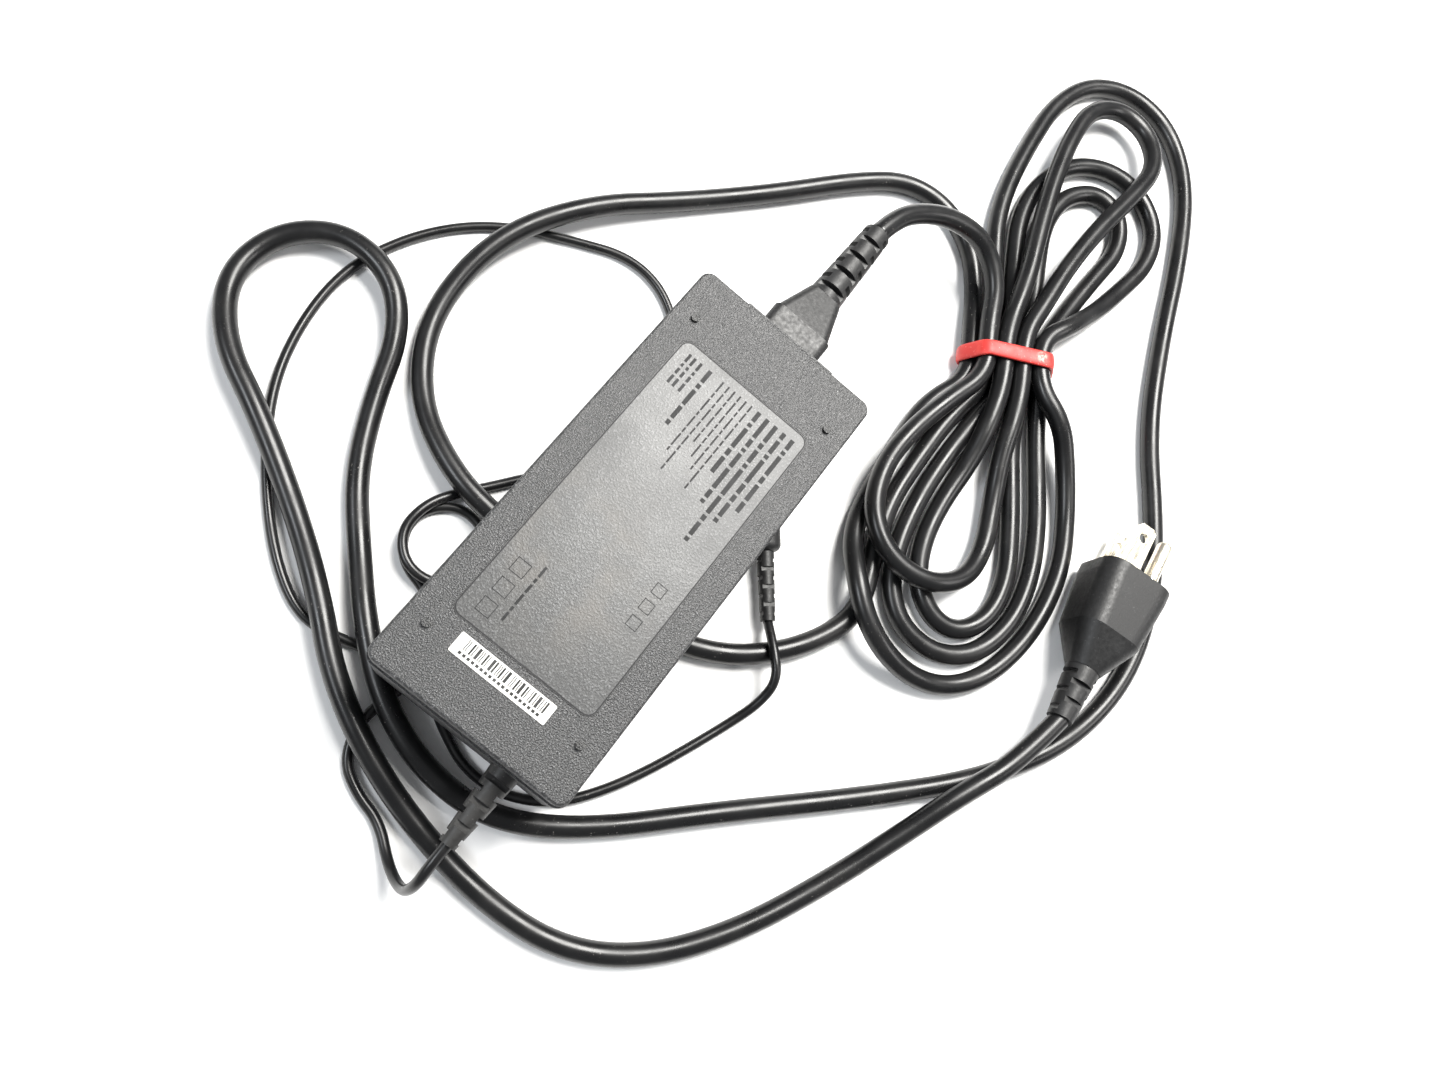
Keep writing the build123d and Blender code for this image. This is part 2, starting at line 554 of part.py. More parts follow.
def output_inductor():
    core = rod_z(-38, -4, BOARD_Z - 12.5, BOARD_Z, 5.2)
    return core - (rod_z(-38, -4, BOARD_Z - 11, BOARD_Z - 1.5, 6) - rod_z(-38, -4, -6, 8, 3.2))


def inductor_winding():
    return rod_z(-38, -4, BOARD_Z - 10.9, BOARD_Z - 1.6, 4.8) - rod_z(-38, -4, -6, 8, 3.25)


def optocoupler():
    body = block(-36.3, -29.8, 6, 10.6, BOARD_Z - 3.9, BOARD_Z - 0.4)
    for x in (-34.6, -31.5):
        for y in (5.7, 10.6):
            body += block(x - 0.3, x + 0.3, y, y + 0.3, BOARD_Z - 2.4, BOARD_Z)
    return body


def controller_chip():
    body = block(-4.4, 0.5, 8, 12, BOARD_TOP + 0.1, BOARD_TOP + 1.5)
    for i in range(4):
        x = -3.85 + 1.27 * i
        body += block(x - 0.2, x + 0.2, 7.0, 13.0, BOARD_TOP, BOARD_TOP + 0.4)
    return body


def insulation_sheet():
    return block(-58, 38, -24.5, 24.5, BOARD_TOP + 1.8, BOARD_TOP + 2.2)


def thermal_pads():
    pads = [block(x0, x1, 24.45, CASE_W / 2 - WALL - 0.05, -11, 5) for x0, x1 in ((-23, 1), (-51, -33))]
    return Compound(children=pads)


def wire(points, radius, bend):
    path = FilletPolyline(*points, radius=bend)
    start = Plane(origin=path @ 0, z_dir=path % 0)
    return sweep(start * Circle(radius), path=path.wire())


def inlet_wires():
    """Line, neutral and earth, from the inlet's tags to the board's edge."""
    tag = CASE_L / 2 - INLET_DEPTH - 3.0
    wires = []
    for (y, z), pad_y in zip(pin_places(), (-8.5, 8.5, 0.0)):
        wires.append(wire([(tag, y, z), (tag - 1.9, y, z), (tag - 3.1, pad_y, BOARD_Z - 0.8)], 0.8, 0.9))
    return Compound(children=wires)


def output_wires():
    inner_end = -CASE_L / 2 + WALL + 2.4
    wires = []
    for y, z, pad_y in ((DC_EXIT_Y - 1.2, 0.9, -8.5), (DC_EXIT_Y + 1.6, -0.9, -5.0)):
        wires.append(wire([(inner_end, y, z), (inner_end + 2.2, y, z), (-57.3, pad_y, BOARD_Z - 0.7)], 0.7, 1.0))
    return Compound(children=wires)


# ---------------------------------------------------------------- write every sub-part
os.makedirs("parts", exist_ok=True)

SUBPARTS = {
    "label_cover": label_cover,
    "base_shell": base_shell,
    "rating_label": rating_label,
    "barcode_label": barcode_label,
    "inlet_housing": inlet_housing,
    "inlet_pins": inlet_pins,
    "mains_connector_body": mains_connector_body,
    "connector_contacts": connector_contacts,
    "connector_strain_relief": connector_strain_relief,
    "mains_hank": mains_hank,
    "cord_tie": cord_tie,
    "plug_strain_relief": plug_strain_relief,
    "mains_plug_body": mains_plug_body,
    "plug_blades": plug_blades,
    "plug_earth_pin": plug_earth_pin,
    "dc_strain_relief": dc_strain_relief,
    "dc_plug_strain_relief": dc_plug_strain_relief,
    "dc_plug_handle": dc_plug_handle,
    "dc_plug_barrel": dc_plug_barrel,
    "dc_plug_insulator": dc_plug_insulator,
    "dc_plug_contact": dc_plug_contact,
    "circuit_board": circuit_board,
    "insulation_sheet": insulation_sheet,
    "inlet_wires": inlet_wires,
    "fuse": fuse,
    "x_capacitor": x_capacitor,
    "y_capacitors": y_capacitors,
    "choke_core": choke_core,
    "choke_windings": choke_windings,
    "bridge_rectifier": bridge_rectifier,
    "bulk_capacitor": bulk_capacitor,
    "primary_heatsink": lambda: heatsink(-24, 2, TRANSISTOR_X),
    "switching_transistor": lambda: power_package(TRANSISTOR_X),
    "transformer_core": transformer_core,
    "transformer_bobbin": transformer_bobbin,
    "transformer_winding": transformer_winding,
    "controller_chip": controller_chip,
    "optocoupler": optocoupler,
    "secondary_heatsink": lambda: heatsink(-52, -32, RECTIFIER_X),
    "output_rectifier": lambda: power_package(RECTIFIER_X),
    "heatsink_screws": heatsink_screws,
    "thermal_pads": thermal_pads,
    "output_capacitors": output_capacitors,
    "output_inductor": output_inductor,
    "inductor_winding": inductor_winding,
    "output_wires": output_wires,
}
CORDS = {
    "mains_cord_lead": (LEAD_ROUTE, MAINS_D),
    "mains_cord_back_loop": (BACK_ROUTE, MAINS_D),
    "mains_cord_outer_loop": (OUTER_ROUTE, MAINS_D),
    "dc_cord": (DC_ROUTE, DC_D),
}
for node, make in SUBPARTS.items():
    save(make(), node)
for node, (route, diameter) in CORDS.items():
    save(cord_tube(node, route, diameter), node)
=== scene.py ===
import json
from math import cos, pi, radians, sin

import bmesh
import bpy
from mathutils import Matrix, Vector


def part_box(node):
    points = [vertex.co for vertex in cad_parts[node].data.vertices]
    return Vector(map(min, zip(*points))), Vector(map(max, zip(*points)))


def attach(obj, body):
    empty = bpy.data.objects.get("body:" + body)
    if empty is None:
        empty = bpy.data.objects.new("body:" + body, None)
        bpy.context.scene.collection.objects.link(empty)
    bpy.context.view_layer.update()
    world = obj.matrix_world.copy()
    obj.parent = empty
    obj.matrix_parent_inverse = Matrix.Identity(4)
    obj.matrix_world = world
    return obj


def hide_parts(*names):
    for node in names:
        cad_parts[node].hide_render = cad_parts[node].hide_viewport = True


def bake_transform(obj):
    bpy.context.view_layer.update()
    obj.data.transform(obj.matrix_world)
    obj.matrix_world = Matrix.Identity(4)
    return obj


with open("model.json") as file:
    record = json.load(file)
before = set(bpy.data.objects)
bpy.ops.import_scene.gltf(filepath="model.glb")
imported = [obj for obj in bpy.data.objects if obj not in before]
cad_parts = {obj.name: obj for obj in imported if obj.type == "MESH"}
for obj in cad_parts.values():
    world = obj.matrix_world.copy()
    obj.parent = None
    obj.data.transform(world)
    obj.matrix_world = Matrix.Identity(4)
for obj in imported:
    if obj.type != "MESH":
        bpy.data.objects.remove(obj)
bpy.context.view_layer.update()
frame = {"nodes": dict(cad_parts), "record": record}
nodes = frame["nodes"]

MM = 0.001
FLOOR_Z = -26.0
MAINS_D, DC_D = 6.2, 2.8
PIP_X, PIP_Y, PIP_TOP = 51.2, 22.3, 15.8

# ---------------------------------------------------------------- camera
CAMERA_AT = Vector((-0.0750, -0.0004, 0.2556))
CAMERA_RIGHT = Vector((0.5843, -0.7676, 0.2635))
CAMERA_FORWARD = Vector((0.3285, -0.0732, -0.9417))


def add_camera():
    data = bpy.data.cameras.new("camera")
    data.sensor_width = 36.0
    data.lens = 25.66
    data.clip_start = 0.01
    camera = bpy.data.objects.new("camera", data)
    bpy.context.scene.collection.objects.link(camera)
    right = CAMERA_RIGHT.normalized()
    back = -CAMERA_FORWARD.normalized()
    up = back.cross(right).normalized()
    turn = Matrix((right, up, back)).transposed().to_4x4()
    camera.matrix_world = Matrix.Translation(CAMERA_AT) @ turn
    bpy.context.scene.camera = camera


# ---------------------------------------------------------------- cord routes
# Each point is x, y and the lift of the cord's centre above where it would lie on the floor, in mm.
TIE_X, TIE_Y, TIE_ANGLE = 130.0, -58.0, radians(30.7)
ALONG = (cos(TIE_ANGLE), sin(TIE_ANGLE))
ACROSS = (sin(TIE_ANGLE), -cos(TIE_ANGLE))
TOP_SLOTS = (-9.3, -3.1, 3.1, 9.3)
LOW_SLOTS = (-12.4, -6.2, 0.0, 6.2, 12.4)
TOP_LIFT, LOW_LIFT = 7.1, 1.6


def in_tie(across, lift, along):
    """A place in the tied bundle: how far across it, how high, and how far along it."""
    return (
        TIE_X + ACROSS[0] * across + ALONG[0] * along,
        TIE_Y + ACROSS[1] * across + ALONG[1] * along,
        lift,
    )


def top(slot, along):
    return in_tie(TOP_SLOTS[slot], TOP_LIFT, along)


def low(slot, along):
    return in_tie(LOW_SLOTS[slot], LOW_LIFT, along)


LEAD_ROUTE = [
    (118.6, 0, 22.9), (128, -1, 22.4), (138, -6, 20), (147, -15, 17), (151, -27, 13.5), (145, -39, 10),
    top(0, 8), top(0, 0),
]
HANK_ROUTE = [
    top(0, 0), top(0, -8),
    (102, -49, 7.4), (86, -45.5, 7.2), (71, -45, 7), (57, -50, 7), (49, -62, 7), (50, -76, 6.8),
    (60, -86, 4.5), (74, -86.5, 1.5), (88, -80.5, 1.5), (101, -73.5, 4.5), (113, -69.5, 6.9),
    top(2, -8), top(2, 8),
    (154, -56, 7.1), (172, -55, 6.8), (192, -56, 6.8), (212, -59, 6.8), (229, -60, 6.4), (241, -51, 4),
    (241, -38, 4), (229, -29, 6.2), (212, -30, 6.8), (194, -34, 6.8), (175, -40, 6.8), (157, -46.5, 7.1),
    top(1, 8), top(1, -8),
    (107, -63.5, 7.4), (93, -67, 2.4), (78, -67.5, 0), (64, -69.5, 0), (53, -74.5, 0), (46, -84, 0),
    (47, -94, 0), (57, -100, 0), (71, -98.5, 0), (85, -91, 0), (98, -82.5, 0), (110, -74, 0.5),
    low(3, -8), low(3, 8),
    (155, -54.5, 0.3), (169, -47.5, 0), (184, -41, 0), (199, -41, 0), (209.5, -49.5, 0), (208, -61, 0),
    (196, -67.5, 0), (180, -66, 0), (163, -65, 0),
    low(4, 8), low(4, -8),
    (117.5, -80.5, 0), (105, -89, 0), (92, -97.5, 0), (77, -104.5, 0), (61, -107, 0), (46, -103, 0),
    (37.5, -93, 0), (37, -80, 0), (43.5, -70.5, 0), (55, -64.5, 0), (71, -61.2, 0), (88, -60.2, 0),
    (105, -60.8, 0.3),
    low(2, -8), low(2, 8),
    (151, -48, 0.3), (165, -40, 0), (179, -33, 0), (195, -31, 0), (211, -36, 0), (221, -48, 0),
    (222, -62, 0), (214, -74, 0), (200, -78.5, 0), (184, -76, 0), (168, -72.5, 2), (154, -67.5, 7.6),
    top(3, 8), top(3, -8),
    (123, -83, 7.4), (114, -94, 2.5), (102, -103.5, 0), (88, -110.5, 0), (72, -113.5, 0), (56, -113, 0),
    (41, -108.5, 0), (31, -100, 0), (26.5, -89, 1.5), (26, -77, 5.5), (30, -67, 6.9), (37.5, -58.5, 6.9),
    (47, -52, 2), (58, -48.5, 0), (70, -47, 0), (85, -46, 0), (101, -45.2, 0.5),
    low(0, -8), low(0, 8),
    (145, -36, 0), (156, -27, 0),
]
BACK_ROUTE = [
    (163, -12, 0), (160, 4, 0), (146, 17, 0), (123, 33, 0), (99, 52, 0), (75, 71, 3.6),
    (48, 83, 3.6), (19, 82, 0), (-2, 68, 0), (-13, 47, 3.6), (-15, 28, 3.6), (-14, 6, 0),
    (-12, -16, 0), (-8, -34, 0), (2, -49.5, 0), (17.5, -61.5, 0), (33, -66.5, 0),
]
RETURN_ROUTE = [
    (50, -59.5, 0), (66, -54.3, 0), (84, -53.6, 0), (102, -53.6, 0.5),
    low(1, -8), low(1, 8),
    (148, -42.5, 0), (160, -34.5, 0), (172, -27.5, 0),
]
OUTER_ROUTE = [
    (187, -23, 0), (204, -20.5, 0), (226, -18.5, 0), (244.5, -24, 0), (255, -39, 0), (253.5, -57.5, 0),
    (239, -74, 0), (212, -87, 0), (179, -98, 0), (148, -111, 0), (123, -129, 0), (100, -142, 0),
    (72, -148, 0), (43, -142, 0), (17, -125, 0), (-9, -99, 0), (-38, -67, 0), (-64, -40, 0),
    (-76, -19, 0), (-76.5, 2, 3.6), (-69.5, 21, 3.6), (-57.5, 37, 3.6), (-44, 51, 0), (-29, 65.5, 0),
    (-10, 76, 0), (8, 83, 2), (19.5, 95, 3.6), (20.5, 112, 3.6), (9, 125, 1.5), (-9, 126, 1.5),
    (-24, 113, 3.6), (-33, 93, 3.6), (-46, 70, 1), (-58.5, 51, 3.6), (-72, 34.5, 3.6), (-82, 14.5, 3.6),
    (-88.5, -7, 0), (-92, -31, 0), (-90, -54, 0), (-79, -73, 0), (-60, -89, 0), (-36, -102, 0),
    (-12, -112, 3), (7, -119, 6.8), (25, -128, 7.5), (44, -132, 7.9),
]
DC_ROUTE = [
    (-86, -13.5, 24.6), (-92, -13.5, 24.4), (-98, -14, 20.5), (-101, -12.5, 11), (-99, -6.5, 2.5),
    (-92.5, 2, 0), (-90.5, 11, 0), (-86, 19, 0), (-76, 22.5, 0), (-66, 20, 0), (-56, 19, 0),
    (-48, 23.5, 0), (-41, 31, 0), (-39.2, 40.4, 0), (-32.9, 46.7, 0), (-24.1, 46.7, 0),
    (-17.8, 40.4, 0), (-17.8, 31.6, 0), (-24.1, 25.3, 0), (-32.9, 25.3, 0.8), (-39.2, 31.6, 3.3),
    (-39.2, 40.4, 3.3), (-32.9, 46.7, 3.3), (-24.1, 46.7, 3.3), (-16.5, 43.5, 1.2), (-8, 37.5, 0),
    (3, 30, 0), (12, 19, 0), (25, 12, 0), (40, 12, 0), (54, 19, 0), (66, 29, 0), (73, 41, 0),
    (73, 54, 0), (66, 67, 0), (58, 81, 0), (47, 93, 0), (32, 102, 0), (14, 107, 0), (-5, 105, 0),
    (-24, 98, 0), (-41, 85, 0), (-57, 68, 0), (-66, 52, 0), (-64, 40, 0), (-61, 30.5, 0.4),
    (-59.5, 23, 3.2), (-61, 13, 3.2), (-66, 4, 0), (-70, -6, 0), (-69.5, -18, 0), (-63, -30, 0),
    (-53, -38, 0), (-41, -44.7, 0), (-28, -50.5, 0), (-17, -55, 0), (-8, -58, 2.6),
    (-0.5, -57.5, 7), (6, -51.2, 7), (12, -46, 3.2),
]


def in_metres(route, diameter):
    return [Vector((x, y, FLOOR_Z + diameter / 2 + lift)) * MM for x, y, lift in route]


def spline_curve(name, points, radius, resolution):
    """A round cord along a spline. The points hold the radius, so that the curve's box fits it."""
    data = bpy.data.curves.new(name, "CURVE")
    data.dimensions = "3D"
    data.resolution_u = resolution
    data.bevel_depth = 1.0 if radius > 0 else 0.0
    data.bevel_resolution = 6
    data.use_fill_caps = radius > 0
    spline = data.splines.new("NURBS")
    spline.points.add(len(points) - 1)
    for place, point in zip(spline.points, points):
        place.co = (*point, 1.0)
        place.radius = radius
    spline.order_u = 3
    spline.use_endpoint_u = True
    spline.use_smooth = True
    curve = bpy.data.objects.new(name, data)
    bpy.context.scene.collection.objects.link(curve)
    return curve


def centre_line(points, resolution):
    """The points of the spline that a curve with these control points follows."""
    guide = spline_curve("guide", points, 0.0, resolution)
    bpy.context.view_layer.update()
    evaluated = guide.evaluated_get(bpy.context.evaluated_depsgraph_get())
    mesh = bpy.data.meshes.new_from_object(evaluated)
    line = [v.co.copy() for v in mesh.vertices]
    bpy.data.meshes.remove(mesh)
    bpy.data.objects.remove(guide)
    return line


def line_length(line):
    return sum((b - a).length for a, b in zip(line, line[1:]))


def tube_mesh(name, line, radius, sides=24):
    """A round tube along a line, with rings that don't twist."""
    shape = bmesh.new()
    rings = []
    side = Vector((0, 0, 1))
    for i, place in enumerate(line):
        ahead = (line[min(i + 1, len(line) - 1)] - line[max(i - 1, 0)]).normalized()
        side = (side - ahead * side.dot(ahead)).normalized()
        other = ahead.cross(side)
        ring = []
        for k in range(sides):
            turn = 2 * pi * k / sides
            ring.append(shape.verts.new(place + (side * cos(turn) + other * sin(turn)) * radius))
        rings.append(ring)
    for first, second in zip(rings, rings[1:]):
        for k in range(sides):
            shape.faces.new((first[k], first[(k + 1) % sides], second[(k + 1) % sides], second[k]))
    shape.faces.new(list(reversed(rings[0])))
    shape.faces.new(rings[-1])
    return finished_mesh(name, shape)


def finished_mesh(name, shape, smooth=True):
    bmesh.ops.recalc_face_normals(shape, faces=shape.faces)
    mesh = bpy.data.meshes.new(name)
    shape.to_mesh(mesh)
    shape.free()
    for face in mesh.polygons:
        face.use_smooth = smooth
    piece = bpy.data.objects.new(name, mesh)
    bpy.context.scene.collection.objects.link(piece)
    return piece


add_camera()

lead_line = centre_line(in_metres(LEAD_ROUTE, MAINS_D), 10)
lead = tube_mesh("mains_lead", lead_line, MAINS_D / 2 * MM)
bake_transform(lead)
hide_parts("mains_cord_lead")

main_points = in_metres(HANK_ROUTE + BACK_ROUTE + RETURN_ROUTE + OUTER_ROUTE, MAINS_D)
main_cord = spline_curve("mains_cord", main_points, MAINS_D / 2 * MM, 9)
main_length = line_length(centre_line(main_points, 9))
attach(main_cord, "supply")
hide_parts("mains_hank", "mains_cord_back_loop", "mains_cord_outer_loop")

dc_points = in_metres(DC_ROUTE, DC_D)
dc_cord = spline_curve("dc_lead", dc_points, DC_D / 2 * MM, 9)
dc_length = line_length(centre_line(dc_points, 9))
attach(dc_cord, "supply")
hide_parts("dc_cord")
print("cord lengths in metres:", [round(x, 3) for x in (line_length(lead_line), main_length, dc_length)])


# ---------------------------------------------------------------- the band around the bundle
def band_outline(radius, steps=7):
    """The taut outline around the bundle's outer strands, across and up, in mm."""
    low_z = FLOOR_Z + MAINS_D / 2 + LOW_LIFT
    top_z = FLOOR_Z + MAINS_D / 2 + TOP_LIFT
    corners = [
        (12.4, low_z, -90, 24), (9.3, top_z, 24, 90), (-9.3, top_z, 90, 156), (-12.4, low_z, 156, 270),
    ]
    outline = []
    for across, up, start, end in corners:
        for i in range(steps):
            turn = radians(start + (end - start) * i / (steps - 1))
            outline.append((across + radius * cos(turn), up + radius * sin(turn)))
    return outline


def add_band():
    """A moulded rubber band: flat inside, lightly crowned outside, a little uneven in width."""
    inner, outer = MAINS_D / 2 + 0.08, MAINS_D / 2 + 1.38
    profile = [
        (-2.5, 0.05), (-2.0, 0.0), (2.0, 0.0), (2.5, 0.05), (2.62, 0.5), (2.4, 0.86), (1.2, 1.0),
        (0.0, 1.03), (-1.2, 1.0), (-2.4, 0.86), (-2.62, 0.5),
    ]
    inside, outside = band_outline(inner), band_outline(outer)
    count = len(inside)
    shape = bmesh.new()
    rings = []
    for i in range(count):
        turn = 2 * pi * i / count
        width = 1.0 + 0.035 * sin(3 * turn + 0.6) + 0.02 * sin(7 * turn)
        lean = 0.28 * sin(turn + 0.8)
        ring = []
        for along, depth in profile:
            across = inside[i][0] + (outside[i][0] - inside[i][0]) * depth
            up = inside[i][1] + (outside[i][1] - inside[i][1]) * depth
            x, y, _ = in_tie(across, 0, along * width + lean)
            ring.append(shape.verts.new(Vector((x, y, up)) * MM))
        rings.append(ring)
    for i in range(count):
        first, second = rings[i], rings[(i + 1) % count]
        for k in range(len(profile)):
            j = (k + 1) % len(profile)
            shape.faces.new((first[k], first[j], second[j], second[k]))
    band = finished_mesh("tie_band", shape)
    smooth = band.modifiers.new("smooth", "SUBSURF")
    smooth.levels = 2
    smooth.render_levels = 2
    return band


band = add_band()
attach(band, "supply")
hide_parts("cord_tie")


# ---------------------------------------------------------------- generic print
def add_bars(name, bars, height):
    """Flat printed bars, each x0, x1, y0, y1 in mm, laid at one height."""
    shape = bmesh.new()
    for x0, x1, y0, y1 in bars:
        corners = [(x0, y0), (x1, y0), (x1, y1), (x0, y1)]
        shape.faces.new([shape.verts.new(Vector((x, y, height)) * MM) for x, y in corners])
    return finished_mesh(name, shape, smooth=False)


def word_row(x_start, x_end, y, tall, words, gap):
    """A line of print shown only as bars of different lengths."""
    bars = []
    x = x_start
    i = 0
    while True:
        length = words[i % len(words)]
        if x - length < x_end:
            break
        bars.append((x - length, x, y - tall / 2, y + tall / 2))
        x -= length + gap
        i += 1
    return bars


def label_bars():
    bars = []
    large = [
        (3.2, 1.1, 6.4, 2.0, 5.2), (2.0, 4.2, 1.2, 7.5, 3.0), (5.5, 1.6, 4.0, 1.2, 8.5),
        (6.5, 2.4, 1.0, 4.5),
    ]
    for i, (end, y) in enumerate(((16, -17.2), (4, -14.4), (1, -11.6), (9, -8.8), (18, -6.0))):
        bars += word_row(42.5, end, y, 1.25, large[i % 4], 0.8)
    small = [(2.2, 3.0, 1.4, 3.8, 1.7), (3.5, 1.5, 4.0, 1.2), (1.8, 4.2, 2.5, 1.3, 2.4), (3.4, 1.4, 2.8)]
    for i in range(6):
        bars += word_row(42.5, 12 + 3 * (i % 4), -3.4 + 1.9 * i, 0.5, small[i % 4], 0.55)
    bars += word_row(42.5, 20, 10.4, 1.2, (4.0, 1.4, 5.0), 0.8)
    for across in (13.4, 15.4, 17.0):
        bars += word_row(42.5, 31, across, 0.8, (2.6, 1.0, 1.8), 0.7)
    for x0 in (-9.5, -14.5, -19.5):
        bars += frame_bars(x0 - 3.2, x0, -16.0, -12.8, 0.22)
    for x0 in (-26.0, -32.0, -38.0):
        bars += frame_bars(x0 - 4.0, x0, 12.4, 16.4, 0.22)
    bars += word_row(-24, -42, 9.8, 0.7, (3.0, 1.2, 2.4), 0.6)
    return bars


def frame_bars(x0, x1, y0, y1, wide):
    """A thin rectangular outline."""
    return [
        (x0, x1, y0, y0 + wide), (x0, x1, y1 - wide, y1),
        (x0, x0 + wide, y0 + wide, y1 - wide), (x1 - wide, x1, y0 + wide, y1 - wide),
    ]


def add_rim(name, box, inset, wide, corner, height, steps=9):
    """A thin printed line that follows a label's rounded edge."""
    x_half = (box[1].x - box[0].x) / 2 / MM - inset
    y_half = (box[1].y - box[0].y) / 2 / MM - inset
    x_mid, y_mid = (box[0].x + box[1].x) / 2 / MM, (box[0].y + box[1].y) / 2 / MM
    shape = bmesh.new()
    pairs = []
    for x_side, y_side, start in ((1, 1, 0), (-1, 1, 90), (-1, -1, 180), (1, -1, 270)):
        for i in range(steps):
            turn = radians(start + 90 * i / (steps - 1))
            pair = []
            for radius in (corner, corner - wide):
                x = x_mid + x_side * (x_half - corner) + radius * cos(turn)
                y = y_mid + y_side * (y_half - corner) + radius * sin(turn)
                pair.append(shape.verts.new(Vector((x, y, height)) * MM))
            pairs.append(pair)
    for first, second in zip(pairs, pairs[1:] + pairs[:1]):
        shape.faces.new((first[0], second[0], second[1], first[1]))
    return finished_mesh(name, shape, smooth=False)


def barcode_bars(box):
    lowest, highest = box
    widths = (0.5, 0.25, 0.25, 0.75, 0.25, 0.5, 0.25, 0.25, 0.5, 0.75, 0.25)
    gaps = (0.25, 0.5, 0.25, 0.25, 0.5, 0.25, 0.75)
    y, end = lowest.y / MM + 1.8, highest.y / MM - 1.8
    x0, x1 = lowest.x / MM + 1.9, highest.x / MM - 0.5
    bars = []
    i = 0
    while y + widths[i % len(widths)] < end:
        wide = widths[i % len(widths)]
        bars.append((x0, x1, y, y + wide))
        y += wide + gaps[i % len(gaps)]
        i += 1
    y = lowest.y / MM + 2.2
    while y + 0.8 < end:
        bars.append((x0 - 1.2, x0 - 0.45, y, y + 0.8))
        y += 1.25
    return bars


label_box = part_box("rating_label")
sticker_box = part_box("barcode_label")
label_print = add_bars("label_print", label_bars(), label_box[1].z / MM + 0.02)
label_rim = add_rim("label_rim", label_box, 0.1, 0.35, 2.7, label_box[1].z / MM + 0.02)
barcode_print = add_bars("barcode_print", barcode_bars(sticker_box), sticker_box[1].z / MM + 0.02)
for piece in (label_print, label_rim, barcode_print):
    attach(piece, "supply")


